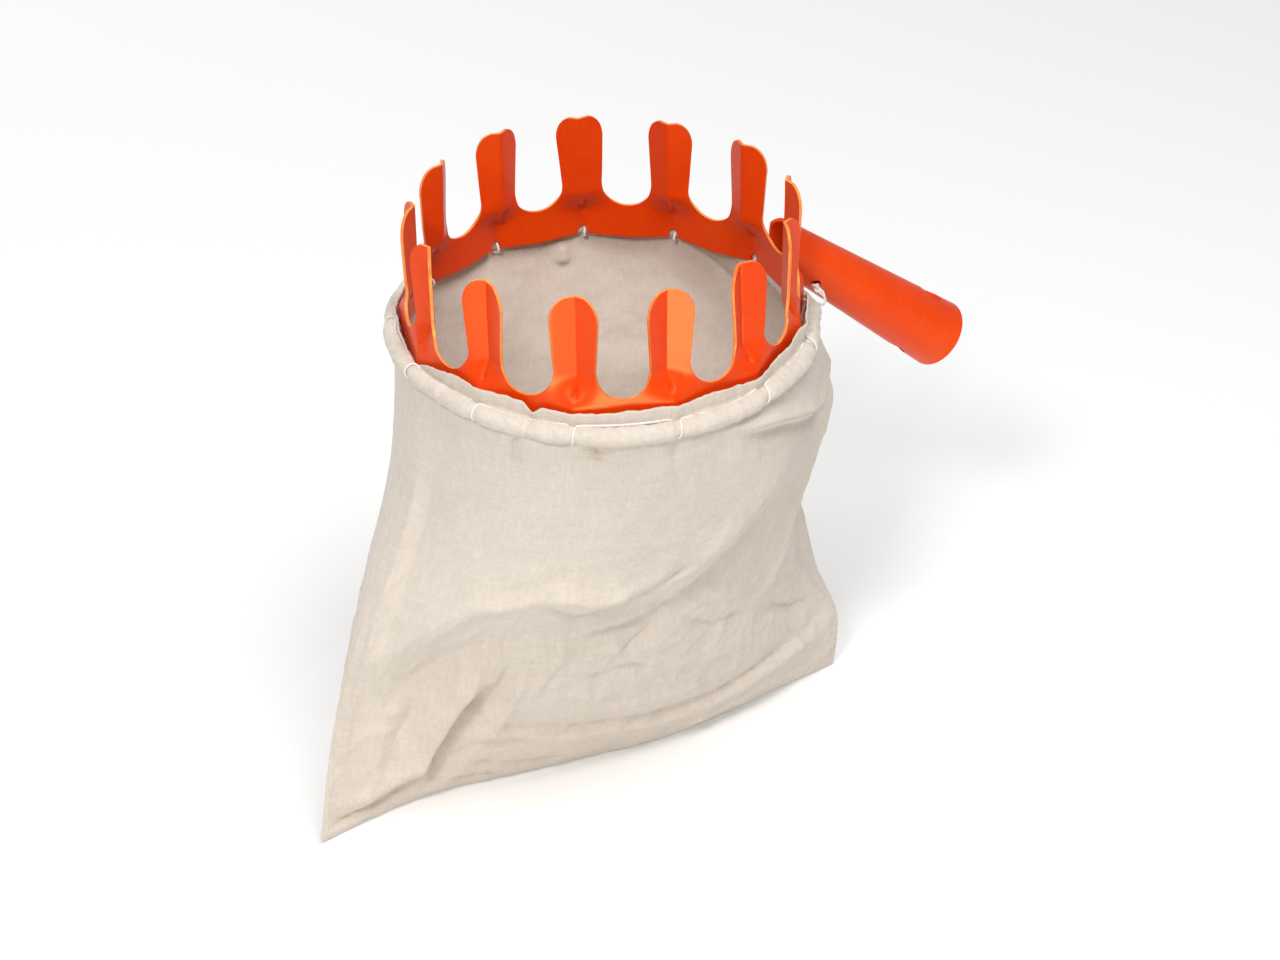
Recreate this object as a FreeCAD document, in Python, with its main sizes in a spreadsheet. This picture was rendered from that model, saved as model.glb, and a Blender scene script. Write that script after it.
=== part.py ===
import FreeCAD, Part
import math
import os

# Fruit picker head: a pressed steel crown of fingers, a tapered pole socket welded to it,
# and a flat-sewn cotton bag laced to the crown's lower edge.
# Origin: centre of the socket's mouth, where the pole holds the part.
# +Z is up along the crown's axis, +X points away from the crown along the socket.

doc = FreeCAD.newDocument("fruit_picker_basket")
sheet = doc.addObject("Spreadsheet::Sheet", "sizes")

SIZES = [
    # crown
    ("finger_count", 13),
    ("crown_height", 54.7),
    ("crown_facet_radius", 78.2),
    ("crown_sheet", 1.2),
    ("crown_edge_sag", 1.2),
    ("finger_crease_radius", 73.4),
    ("finger_half_width", 10.2),
    ("crease_start", 6.0),
    ("crease_full", 13.5),
    ("gap_bottom", 13.3),
    ("gap_radius", 11.1),
    ("gap_head_half", 9.8),
    ("gap_head_height", 45.5),
    ("notch_width", 4.0),
    ("notch_height", 3.4),
    # pole socket
    ("mouth_reach", 152.8),
    ("mouth_drop", 44.3),
    ("socket_drop_angle", 39.7),
    ("socket_length", 100),
    ("socket_mouth_radius", 14.1),
    ("socket_end_radius", 9.2),
    ("socket_wall", 1.5),
    ("screw_hole_radius", 5.25),
    ("screw_hole_inset", 15.3),
    ("cord_hole_radius", 1.9),
    ("cord_hole_inset", 76),
    ("cord_hole_angle", 35),
    ("weld_radius", 1.5),
    # bag
    ("hem_ring_radius", 86.8),
    ("hem_roll_radius", 4.0),
    ("hem_roll_level", -1.0),
    ("flap_inner_radius", 82.2),
    ("flap_cloth", 1.0),
    ("flap_bottom", 5.2),
    ("flap_height", 4.0),
    ("bag_top_radius", 87.5),
    ("bag_top_level", -5.4),
    ("bag_depth", 200),
    ("bag_half_width", 128),
    ("bag_half_fold", 3.2),
    ("bag_cloth", 1.2),
    ("seam_radius", 0.45),
    ("seam_gap", 0.6),
    # lacing
    ("cord_radius", 0.55),
    ("knot_radius", 1.9),
]
for row, (alias, value) in enumerate(SIZES, start=1):
    sheet.set(f"A{row}", alias)
    sheet.set(f"B{row}", str(value))
    sheet.setAlias(f"B{row}", alias)
doc.recompute()


def size(alias):
    return float(getattr(sheet, alias))


def bind(obj, **expressions):
    for prop, expression in expressions.items():
        obj.setExpression(prop.replace("__", "."), expression)
    return obj


def add(type_name, name, **expressions):
    return bind(doc.addObject(type_name, name), **expressions)


def sheet_shape(name, shape, placement=None):
    obj = doc.addObject("Part::Feature", name)
    obj.Shape = shape
    if placement is not None:
        obj.Placement = placement
    return obj


def cut(name, base, tool):
    obj = doc.addObject("Part::Cut", name)
    obj.Base = base
    obj.Tool = tool
    return obj


def common(name, base, tool):
    obj = doc.addObject("Part::Common", name)
    obj.Base = base
    obj.Tool = tool
    return obj


def fuse(name, shapes):
    obj = doc.addObject("Part::MultiFuse", name)
    obj.Shapes = shapes
    return obj


def loft(name, sections, ruled):
    obj = doc.addObject("Part::Loft", name)
    obj.Sections = sections
    obj.Solid = True
    obj.Ruled = ruled
    return obj


UP = FreeCAD.Vector(0, 0, 1)
RING_CENTRE = FreeCAD.Vector(-size("mouth_reach"), 0, size("mouth_drop"))
FINGERS = int(size("finger_count"))
STEP = 360.0 / FINGERS
HALF_STEP = math.radians(STEP / 2)
CORNER_RADIUS = size("crown_facet_radius") / math.cos(HALF_STEP)

# placement that puts a ring-centred object on the crown's axis
ON_RING = {
    "Placement__Base__x": "-sizes.mouth_reach",
    "Placement__Base__z": "sizes.mouth_drop",
}


def on_ring(radius, angle_deg, level, sideways=0.0):
    """Point at a radius and angle round the crown, moved sideways (clockwise) and up."""
    a = math.radians(angle_deg)
    x = radius * math.cos(a) + sideways * math.sin(a)
    y = radius * math.sin(a) - sideways * math.cos(a)
    return RING_CENTRE + FreeCAD.Vector(x, y, level)


# The crown: flat facets between thirteen outer corners. Above the lower band each corner is
# pressed inwards to a crease that stiffens the finger cut there.
def finger_angle(index):
    return 180.0 + index * STEP


def crown_section(name, level, crease_radius, inset):
    """Closed outline at one level: crease, then the two ends of the flat facet beside it."""
    facet = size("crown_facet_radius") - inset
    half_facet = facet * math.tan(HALF_STEP)
    flat_end = half_facet - size("finger_half_width")
    points = []
    for index in range(FINGERS):
        points.append(on_ring(crease_radius - inset, finger_angle(index), level))
        middle = finger_angle(index) + STEP / 2
        points.append(on_ring(facet, middle, level, flat_end))
        points.append(on_ring(facet, middle, level, -flat_end))
    return sheet_shape(name, Part.makePolygon(points + [points[0]]))


def crown_solid(name, inset):
    """Solid up to one face of the sheet, which lies inset inside the facet radius."""
    corner = CORNER_RADIUS - 0.03
    crease = size("finger_crease_radius")
    levels = [
        (-size("crown_edge_sag"), corner),
        (size("crease_start"), corner),
        (size("crease_full"), crease),
        (size("crown_height"), crease),
    ]
    sections = []
    for number, (level, radius) in enumerate(levels, start=1):
        sections.append(crown_section(f"{name}_section_{number}", level, radius, inset))
    return loft(name, sections, True)


half_sheet = size("crown_sheet") / 2
crown_outer = crown_solid("crown_outer", -half_sheet)
crown_inner = crown_solid("crown_inner", half_sheet)
crown_shell = cut("crown_shell", crown_outer, crown_inner)

# the gap and notch cutters start this far inside the facets and run this long outwards
CUTTER_START = 20
CUTTER_LENGTH = 40
TIP_FLAT = 2.6
TIP_CLEARANCE = 5


def arc_edge(first, middle, last):
    return Part.Arc(first, middle, last).toShape()


def line_edge(first, last):
    return Part.makeLine(first, last)


def gap_face(angle_deg):
    """The U between two fingers with the rounded finger tops on both sides of it."""
    reach = size("crown_facet_radius") - CUTTER_START
    radius = size("gap_radius")
    centre = size("gap_bottom") + radius
    head = size("gap_head_half")
    head_level = size("gap_head_height")
    top = size("crown_height")
    half_facet = size("crown_facet_radius") * math.tan(HALF_STEP)
    tip = half_facet - TIP_FLAT
    above = top + TIP_CLEARANCE
    # the rounded shoulder of a finger's tip passes through this point
    shoulder = head + 0.165 * (tip - head) + 0.2
    shoulder_level = head_level + 0.72 * (top - head_level) - 1.0

    def at(sideways, level):
        return on_ring(reach, angle_deg, level, sideways)

    left = [at(-radius, centre), at(-head, head_level), at(-tip, top)]
    right = [at(radius, centre), at(head, head_level), at(tip, top)]
    edges = [
        arc_edge(left[0], at(0, size("gap_bottom")), right[0]),
        line_edge(right[0], right[1]),
        arc_edge(right[1], at(shoulder, shoulder_level), right[2]),
        line_edge(right[2], at(tip, above)),
        line_edge(at(tip, above), at(-tip, above)),
        line_edge(at(-tip, above), left[2]),
        arc_edge(left[2], at(-shoulder, shoulder_level), left[1]),
        line_edge(left[1], left[0]),
    ]
    return Part.Face(Part.Wire(edges))


def notch_face(angle_deg):
    """The lacing notch at a corner, and the slack by which the facets' lower edges hang lower."""
    reach = size("crown_facet_radius") - CUTTER_START
    half = size("notch_width") / 2
    height = size("notch_height")
    side = CORNER_RADIUS * math.sin(HALF_STEP)
    sag = size("crown_edge_sag")
    below = -sag - 3

    def at(sideways, level):
        return on_ring(reach, angle_deg, level, sideways)

    slope = sag / side
    edges = [
        line_edge(at(-side, -sag), at(-half, -slope * half)),
        line_edge(at(-half, -slope * half), at(-half, height - half)),
        arc_edge(at(-half, height - half), at(0, height), at(half, height - half)),
        line_edge(at(half, height - half), at(half, -slope * half)),
        line_edge(at(half, -slope * half), at(side, -sag)),
        line_edge(at(side, -sag), at(side, below)),
        line_edge(at(side, below), at(-side, below)),
        line_edge(at(-side, below), at(-side, -sag)),
    ]
    return Part.Face(Part.Wire(edges))


def radial_prism(name, face, angle_deg):
    profile = sheet_shape(f"{name}_profile", face)
    a = math.radians(angle_deg)
    prism = doc.addObject("Part::Extrusion", name)
    prism.Base = profile
    prism.DirMode = "Custom"
    prism.Dir = FreeCAD.Vector(math.cos(a), math.sin(a), 0)
    prism.LengthFwd = CUTTER_LENGTH
    prism.Solid = True
    return prism


cutters = []
for index in range(FINGERS):
    corner_angle = finger_angle(index)
    middle_angle = corner_angle + STEP / 2
    cutters.append(radial_prism(f"gap_{index + 1:02d}", gap_face(middle_angle), middle_angle))
    cutters.append(radial_prism(f"notch_{index + 1:02d}", notch_face(corner_angle), corner_angle))
crown_cutters = doc.addObject("Part::Compound", "crown_cutters")
crown_cutters.Links = cutters
crown = cut("crown", crown_shell, crown_cutters)

# The pole socket: a tapered tube that rises from its mouth at the origin to the gap over the
# +X facet, where its narrow end is cut upright to lie against the crown.
SOCKET_TURN = FreeCAD.Rotation(FreeCAD.Vector(0, 1, 0), size("socket_drop_angle") - 90)


def socket_cone(name, clearance):
    cone = add(
        "Part::Cone", name,
        Radius1=f"sizes.socket_mouth_radius + {clearance}",
        Radius2=f"sizes.socket_end_radius + {clearance}",
        Height="sizes.socket_length",
    )
    cone.Placement = FreeCAD.Placement(FreeCAD.Vector(0, 0, 0), SOCKET_TURN)
    return cone


def beyond_facet(name, offset):
    """Block on the crown's side of the upright plane at the +X facet."""
    block = add("Part::Box", name, Length="100", Width="100", Height="140")
    bind(
        block,
        Placement__Base__x=f"-sizes.mouth_reach + sizes.crown_facet_radius + {offset} - 100",
        Placement__Base__y="-50",
        Placement__Base__z="sizes.mouth_drop - 70",
    )
    return block


screw_hole = add("Part::Cylinder", "screw_hole", Radius="sizes.screw_hole_radius", Height="60")
hole_seat = SOCKET_TURN.multVec(FreeCAD.Vector(-30, 0, size("screw_hole_inset")))
hole_turn = SOCKET_TURN.multiply(FreeCAD.Rotation(FreeCAD.Vector(0, 1, 0), 90))
screw_hole.Placement = FreeCAD.Placement(hole_seat, hole_turn)

# the lacing cord's hole is in the lower -Y side of the tube, near the crown
cord_hole_tilt = math.radians(size("cord_hole_angle"))
cord_hole_normal = SOCKET_TURN.multVec(
    FreeCAD.Vector(-math.sin(cord_hole_tilt), -math.cos(cord_hole_tilt), 0)
)
cord_hole_centre = SOCKET_TURN.multVec(FreeCAD.Vector(0, 0, size("cord_hole_inset")))
cord_hole = add("Part::Cylinder", "cord_hole", Radius="sizes.cord_hole_radius", Height="20")
cord_hole.Placement = FreeCAD.Placement(cord_hole_centre, FreeCAD.Rotation(UP, cord_hole_normal))

socket_voids = fuse("socket_voids", [
    socket_cone("socket_bore", "-sizes.socket_wall"),
    beyond_facet("socket_end_trim", "sizes.crown_sheet / 2"),
    screw_hole,
    cord_hole,
])
socket = cut("socket", socket_cone("socket_outer", "0"), socket_voids)

# The weld: a bead round the lower half of the socket's end, on the facet's outer face.
facet_face_x = size("crown_facet_radius") + half_sheet
drop = math.radians(size("socket_drop_angle"))
axis_level = -size("mouth_drop") + (size("mouth_reach") - facet_face_x) * math.tan(drop)
axis_run = (size("mouth_reach") - facet_face_x) / math.cos(drop)
taper = (size("socket_mouth_radius") - size("socket_end_radius")) / size("socket_length")
end_radius = size("socket_mouth_radius") - taper * axis_run
half_rise = end_radius / math.cos(drop)
ring_to_bead = FreeCAD.Vector(facet_face_x, 0, axis_level)
bead_start, bead_end = 197.0, 343.0


def bead_point(angle_deg):
    a = math.radians(angle_deg)
    return RING_CENTRE + ring_to_bead + FreeCAD.Vector(0, end_radius * math.cos(a), half_rise * math.sin(a))


bead_path = Part.Wire(Part.Arc(bead_point(bead_start), bead_point(270), bead_point(bead_end)).toShape())
bead_tangent = bead_path.Edges[0].tangentAt(bead_path.Edges[0].FirstParameter)
bead_section = Part.Wire(Part.makeCircle(size("weld_radius"), bead_point(bead_start), bead_tangent))
bead_sweep = sheet_shape("weld_sweep", bead_path.makePipeShell([bead_section], True, True))
bead_clear_socket = cut("weld_beside_socket", bead_sweep, socket_cone("weld_socket_trim", "0"))
weld_facet_trim = beyond_facet("weld_facet_trim", "sizes.crown_sheet / 2")
socket_weld = cut("socket_weld", bead_clear_socket, weld_facet_trim)


# The bag's hem: a rolled casing round the crown's lower edge and a raw flap above it.
# Both stop at the socket, which they are cut clear of.
def socket_clearance(name):
    return socket_cone(name, "0.8")


hem_roll = add(
    "Part::Torus", "hem_roll",
    Radius1="sizes.hem_ring_radius", Radius2="sizes.hem_roll_radius",
    Placement__Base__x="-sizes.mouth_reach",
    Placement__Base__z="sizes.mouth_drop + sizes.hem_roll_level",
)
bag_hem = cut("bag_hem", hem_roll, socket_clearance("hem_socket_trim"))


def ring_cylinder(name, radius, height, level):
    return add(
        "Part::Cylinder", name, Radius=radius, Height=height,
        Placement__Base__x="-sizes.mouth_reach",
        Placement__Base__z=f"sizes.mouth_drop + {level}",
    )


flap_outer = ring_cylinder(
    "flap_outer", "sizes.flap_inner_radius + sizes.flap_cloth", "sizes.flap_height", "sizes.flap_bottom"
)
flap_inner = ring_cylinder(
    "flap_inner", "sizes.flap_inner_radius", "sizes.flap_height + 2", "sizes.flap_bottom - 1"
)
flap_ring = cut("flap_ring", flap_outer, flap_inner)
bag_hem_flap = cut("bag_hem_flap", flap_ring, socket_clearance("flap_socket_trim"))


# The bag: two flat panels sewn together, so it runs from a round mouth to a straight seam.
def bag_loft(name, inset):
    mouth = add(
        "Part::Circle", f"{name}_mouth", Radius=f"sizes.bag_top_radius - {inset}",
        Placement__Base__x="-sizes.mouth_reach",
        Placement__Base__z="sizes.mouth_drop + sizes.bag_top_level",
    )
    fold = add(
        "Part::Ellipse", f"{name}_fold",
        MajorRadius=f"sizes.bag_half_width - {inset}",
        MinorRadius=f"sizes.bag_half_fold - {inset}",
        Placement__Base__x="-sizes.mouth_reach",
        Placement__Base__z=f"sizes.mouth_drop + sizes.bag_top_level - sizes.bag_depth + {inset}",
    )
    return loft(name, [mouth, fold], False)


def panel_side(name, side):
    """Block that holds one panel's side of the seam plane."""
    base_y = "sizes.seam_gap" if side > 0 else "-sizes.seam_gap - 120"
    return add(
        "Part::Box", name, Length="300", Width="120", Height="260",
        Placement__Base__x="-sizes.mouth_reach - 150",
        Placement__Base__y=base_y,
        Placement__Base__z="sizes.mouth_drop - 240",
    )


bag_shell = cut("bag_shell", bag_loft("bag_outer", "0"), bag_loft("bag_inner", "sizes.bag_cloth"))
bag_trimmed = cut("bag_trimmed", bag_shell, socket_clearance("bag_socket_trim"))
bag_front = common("bag_front", bag_trimmed, panel_side("front_side", -1))
bag_back = common("bag_back", bag_trimmed, panel_side("back_side", 1))

# The seams: a sewn edge down each side and along the bottom, between the two panels.
seam_top = size("bag_top_level") - 6
seam_bottom = size("bag_top_level") - size("bag_depth")


def seam_half_width(level):
    share = (size("bag_top_level") - level) / size("bag_depth")
    return size("bag_top_radius") + share * (size("bag_half_width") - size("bag_top_radius"))


def seam(name, start, end):
    length = (end - start).Length
    obj = add("Part::Cylinder", name, Radius="sizes.seam_radius", Height=str(length))
    obj.Placement = FreeCAD.Placement(start, FreeCAD.Rotation(UP, end - start))
    return obj


def seam_point(side, level, inset):
    return RING_CENTRE + FreeCAD.Vector(side * (seam_half_width(level) - inset), 0, level)


seam_left = seam("seam_left", seam_point(-1, seam_top, 0.6), seam_point(-1, seam_bottom + 1.5, 0.6))
seam_right = seam("seam_right", seam_point(1, seam_top - 9, 0.6), seam_point(1, seam_bottom + 1.5, 0.6))
seam_end = size("bag_half_width") - 1.6
seam_bottom_edge = seam(
    "seam_bottom",
    RING_CENTRE + FreeCAD.Vector(-seam_end, 0, seam_bottom + 0.6),
    RING_CENTRE + FreeCAD.Vector(seam_end, 0, seam_bottom + 0.6),
)

# The lacing cord: from a knot at the socket's hole it drops to the hem, runs in the groove
# between the roll and the flap, and at each corner loops over the roll and back through the notch.
GROOVE_RADIUS = 84.6
GROOVE_LEVEL = 4.0
LOOP_OUTER = size("hem_ring_radius") + size("hem_roll_radius") + 1.1
LOOP_INNER = 78.3
LOOP_BOTTOM = size("hem_roll_level") - size("hem_roll_radius") - 1.1
NOTCH_LEVEL = 0.9
# sideways, radius, level and bend radius at each turn of one loop
LOOP_TURNS = [
    (-2.4, GROOVE_RADIUS, GROOVE_LEVEL, 2.2),
    (-1.6, LOOP_OUTER, GROOVE_LEVEL, 4.4),
    (-0.8, LOOP_OUTER, LOOP_BOTTOM, 4.4),
    (0.2, LOOP_INNER, LOOP_BOTTOM, 2.4),
    (0.8, LOOP_INNER, NOTCH_LEVEL, 2.4),
    (2.4, GROOVE_RADIUS, GROOVE_LEVEL, 2.0),
]
BETWEEN_LOOPS_BEND = 30.0

radius_at_cord_hole = size("socket_mouth_radius") - taper * size("cord_hole_inset")
hole_mouth = cord_hole_centre + cord_hole_normal * radius_at_cord_hole
cord_turns = [
    (hole_mouth - cord_hole_normal * 2.0, 0),
    (hole_mouth + cord_hole_normal * 4.2, 2.2),
    (on_ring(93.6, -10.5, -4.0), 3.0),
]
for index in range(FINGERS):
    angle = -STEP / 2 - index * STEP
    turns = LOOP_TURNS if index else LOOP_TURNS[2:]
    for sideways, radius, level, bend in turns:
        cord_turns.append((on_ring(radius, angle, level, sideways), bend))
    if index < FINGERS - 1:
        between_loops = on_ring(GROOVE_RADIUS + 0.6, angle - STEP / 2, GROOVE_LEVEL)
        cord_turns.append((between_loops, BETWEEN_LOOPS_BEND))
cord_turns.append((on_ring(GROOVE_RADIUS, STEP / 2, GROOVE_LEVEL, 7.0), 0))


def cord_wire(turns):
    """Straight runs joined by tangent arcs; the first and last points have no bend."""
    points = [point for point, bend in turns]
    edges = []
    here = points[0]
    radii = []
    for before, (corner, bend), after in zip(points, turns[1:-1], points[2:]):
        arriving = (corner - before).normalize()
        leaving = (after - corner).normalize()
        turn = math.acos(max(-1.0, min(1.0, arriving.dot(leaving))))
        shorter = min((corner - before).Length, (after - corner).Length)
        radius = min(bend, 0.48 * shorter / math.tan(turn / 2))
        radii.append(radius)
        set_back = radius * math.tan(turn / 2)
        first = corner - arriving * set_back
        last = corner + leaving * set_back
        inward = (leaving - arriving).normalize()
        middle = corner + inward * (radius / math.cos(turn / 2) - radius)
        edges.append(Part.LineSegment(here, first).toShape())
        edges.append(Part.Arc(first, middle, last).toShape())
        here = last
    edges.append(Part.LineSegment(here, points[-1]).toShape())
    print("cord bend radii, least and most:", round(min(radii), 2), round(max(radii), 2))
    return Part.Wire(edges)


cord_path = cord_wire(cord_turns)
cord_direction = (cord_turns[1][0] - cord_turns[0][0]).normalize()
cord_section = Part.Wire(Part.makeCircle(size("cord_radius"), cord_turns[0][0], cord_direction))
lacing_cord = sheet_shape("lacing_cord", cord_path.makePipeShell([cord_section], True, False))
cord_volume = math.pi * size("cord_radius") ** 2 * cord_path.Length
print("cord length", round(cord_path.Length, 1), "volume", round(lacing_cord.Shape.Volume, 1),
      "section times length", round(cord_volume, 1))

# A knot keeps the cord's start outside the socket's hole, and one ends it behind the socket.
start_knot_seat = hole_mouth + cord_hole_normal * (size("knot_radius") + 0.1)
start_knot = add("Part::Sphere", "knot_at_socket", Radius="sizes.knot_radius")
start_knot.Placement.Base = start_knot_seat
end_knot = add("Part::Sphere", "knot_at_hem", Radius="sizes.knot_radius")
end_knot.Placement.Base = cord_turns[-1][0]
cord_start_knot = cut("cord_start_knot", start_knot, lacing_cord)
cord_end_knot = cut("cord_end_knot", end_knot, lacing_cord)

doc.recompute()

NODES = {
    "crown": crown,
    "pole_socket": socket,
    "socket_weld": socket_weld,
    "bag_hem": bag_hem,
    "bag_hem_flap": bag_hem_flap,
    "bag_front": bag_front,
    "bag_back": bag_back,
    "bag_seam_left": seam_left,
    "bag_seam_right": seam_right,
    "bag_seam_bottom": seam_bottom_edge,
    "lacing_cord": lacing_cord,
    "cord_start_knot": cord_start_knot,
    "cord_end_knot": cord_end_knot,
}

for obj in doc.Objects:
    if "Invalid" in obj.State or "Error" in obj.State:
        raise RuntimeError(f"{obj.Name} failed: {obj.State}")

os.makedirs("parts", exist_ok=True)
for label, obj in NODES.items():
    obj.Label = label
    shape = obj.Shape
    if shape.isNull() or not shape.isValid():
        raise RuntimeError(f"{label} has no valid shape")
    if shape.Volume <= 0:
        raise RuntimeError(f"{label} has no volume")
    print(label, "solids", len(shape.Solids), "volume", round(shape.Volume, 1))
    shape.exportStep(f"parts/{label}.step")
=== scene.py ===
import math
import random

import bpy
from mathutils import Matrix, Vector, noise


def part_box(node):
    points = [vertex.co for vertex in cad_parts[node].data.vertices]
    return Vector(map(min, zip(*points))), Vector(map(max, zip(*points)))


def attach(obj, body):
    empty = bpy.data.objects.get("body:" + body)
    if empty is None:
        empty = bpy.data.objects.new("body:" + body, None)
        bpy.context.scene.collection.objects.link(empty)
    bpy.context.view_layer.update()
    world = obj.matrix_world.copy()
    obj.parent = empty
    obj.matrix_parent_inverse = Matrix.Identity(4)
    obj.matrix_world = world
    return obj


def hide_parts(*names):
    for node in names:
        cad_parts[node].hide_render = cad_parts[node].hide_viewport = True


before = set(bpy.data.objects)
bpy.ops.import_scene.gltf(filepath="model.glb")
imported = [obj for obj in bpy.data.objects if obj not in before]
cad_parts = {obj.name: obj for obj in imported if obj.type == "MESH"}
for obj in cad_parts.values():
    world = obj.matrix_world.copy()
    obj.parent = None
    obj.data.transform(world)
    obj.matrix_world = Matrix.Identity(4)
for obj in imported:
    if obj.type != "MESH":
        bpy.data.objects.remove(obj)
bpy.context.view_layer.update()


# --- Camera -------------------------------------------------------------------------------------
# A long lens looks down on the head from the front left, with its pole socket to the right.
VIEW_AZIMUTH = math.radians(-26.84)
VIEW_PITCH = math.radians(31.84)
VIEW_ROLL = math.radians(-1.0)
VIEW_PLACE = Vector((-0.7306, -1.1704, 0.7843))

camera_data = bpy.data.cameras.new("view_camera")
camera_data.sensor_width = 36.0
camera_data.lens = 107.6
camera = bpy.data.objects.new("view_camera", camera_data)
bpy.context.scene.collection.objects.link(camera)
camera.matrix_world = (
    Matrix.Translation(VIEW_PLACE)
    @ Matrix.Rotation(VIEW_AZIMUTH, 4, "Z")
    @ Matrix.Rotation(math.pi / 2 - VIEW_PITCH, 4, "X")
    @ Matrix.Rotation(VIEW_ROLL, 4, "Z")
)
bpy.context.scene.camera = camera
bpy.context.scene.view_settings.view_transform = "Standard"


# --- Crown --------------------------------------------------------------------------------------
# One strip of steel sheet, cut into thirteen fingers and bent round into a ring, which has come
# out slightly narrower one way. Each finger is pressed to a sharp crease along its middle. The
# press fades out into the plain band, with a small pucker where the crease ends.
FINGERS = 13
FINGER_STEP = 2 * math.pi / FINGERS
FACET_RADIUS = 0.0782
CORNER_RADIUS = FACET_RADIUS / math.cos(FINGER_STEP / 2)
HALF_FACET = FACET_RADIUS * math.tan(FINGER_STEP / 2)
CROWN_SHEET = 0.0012
CROWN_HEIGHT = 0.0547
EDGE_SAG = 0.0012
GAP_BOTTOM = 0.0133
GAP_RADIUS = 0.0110
HEAD_LEVEL = 0.0450
NECK_HALF = HALF_FACET - GAP_RADIUS
HEAD_HALF = 0.0097
PRESS_HALF = 0.0102
PRESS_DEPTH = 0.0071
PRESS_START = 0.0100
PRESS_FULL = 0.0225
CREASE_SOFTNESS = (0.0002, 0.0012)
CREASE_SHARPENS = (0.010, 0.015)
EDGE_SOFTNESS = (0.0007, 0.0029)
EDGE_SHARPENS = (0.018, 0.028)
SAG_HEIGHT = 0.006
LEAN_START = 0.022
PUCKER_LEVEL = 0.0148
PUCKER_DEPTH = 0.0019
PUCKER_HALF = 0.0009
PUCKER_ABOVE = 0.0026
PUCKER_BELOW = 0.0011
NOTCH_HALF = 0.0020
NOTCH_HEIGHT = 0.0034
NARROW_AXIS = Vector((0.892, -0.452, 0))
NARROWING = 0.020
NARROW_SHIFT = 0.0006
RING_CENTRE = Vector((-0.1528, 0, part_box("crown")[1][2] - CROWN_HEIGHT))


def smoothstep(low, high, value):
    t = min(1.0, max(0.0, (value - low) / (high - low)))
    return t * t * (3 - 2 * t)


def out_of_round(place):
    """Where a point of the round ring really lies. Beside the socket the ring is true."""
    from_centre = place - RING_CENTRE
    angle = math.atan2(from_centre.y, from_centre.x)
    free = smoothstep(math.radians(12), math.radians(26), abs(angle))
    return place - NARROW_AXIS * free * (NARROWING * from_centre.dot(NARROW_AXIS) + NARROW_SHIFT)


def select_only(obj):
    bpy.ops.object.select_all(action="DESELECT")
    obj.select_set(True)
    bpy.context.view_layer.objects.active = obj


def plain_grid(name, columns, rows):
    """A flat grid of columns by rows of faces, spanning -1 to 1 both ways."""
    bpy.ops.object.select_all(action="DESELECT")
    bpy.ops.mesh.primitive_grid_add(x_subdivisions=columns, y_subdivisions=rows, size=2)
    obj = bpy.context.object
    obj.name = name
    obj.data.name = name
    return obj


def place_vertices(obj, place):
    """Move each vertex of a plain grid to place(across, up), both from 0 to 1."""
    for vertex in obj.data.vertices:
        vertex.co = place((vertex.co.x + 1) / 2, (vertex.co.y + 1) / 2)
    obj.data.update()


def apply_modifiers(obj):
    select_only(obj)
    for modifier in list(obj.modifiers):
        bpy.ops.object.modifier_apply(modifier=modifier.name)


def join_pieces(pieces, name):
    bpy.ops.object.select_all(action="DESELECT")
    for piece in pieces:
        piece.select_set(True)
    bpy.context.view_layer.objects.active = pieces[0]
    if len(pieces) > 1:
        bpy.ops.object.join()
    joined = bpy.context.object
    joined.name = name
    joined.data.name = name
    return joined


def give_materials(obj, *materials):
    obj.data.materials.clear()
    for material in materials:
        obj.data.materials.append(material)


def smooth_shading(obj):
    select_only(obj)
    bpy.ops.object.shade_smooth()


def merge_and_face_out(obj, distance):
    select_only(obj)
    bpy.ops.object.mode_set(mode="EDIT")
    bpy.ops.mesh.select_all(action="SELECT")
    bpy.ops.mesh.remove_doubles(threshold=distance)
    bpy.ops.mesh.normals_make_consistent(inside=False)
    bpy.ops.object.mode_set(mode="OBJECT")


BAND_ROWS, ARC_ROWS, NECK_ROWS, TIP_ROWS = 16, 12, 10, 14
FINGER_ROWS = BAND_ROWS + ARC_ROWS + NECK_ROWS + TIP_ROWS
FINGER_COLUMNS = 28
TIP_TURN = math.radians(74)


def finger_row(up):
    """Level and half width of the sheet at one row of a finger's grid."""
    row = up * FINGER_ROWS
    if row <= BAND_ROWS:
        return GAP_BOTTOM * row / BAND_ROWS, HALF_FACET
    row -= BAND_ROWS
    if row <= ARC_ROWS:
        turn = math.pi / 2 * row / ARC_ROWS
        return GAP_BOTTOM + GAP_RADIUS * (1 - math.cos(turn)), HALF_FACET - GAP_RADIUS * math.sin(turn)
    row -= ARC_ROWS
    if row <= NECK_ROWS:
        share = row / NECK_ROWS
        start = GAP_BOTTOM + GAP_RADIUS
        return start + (HEAD_LEVEL - start) * share, NECK_HALF + (HEAD_HALF - NECK_HALF) * share
    turn = TIP_TURN * (row - NECK_ROWS) / TIP_ROWS
    level = HEAD_LEVEL + (CROWN_HEIGHT - HEAD_LEVEL) * math.sin(turn) / math.sin(TIP_TURN)
    return level, HEAD_HALF * math.cos(turn) ** 0.72


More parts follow.
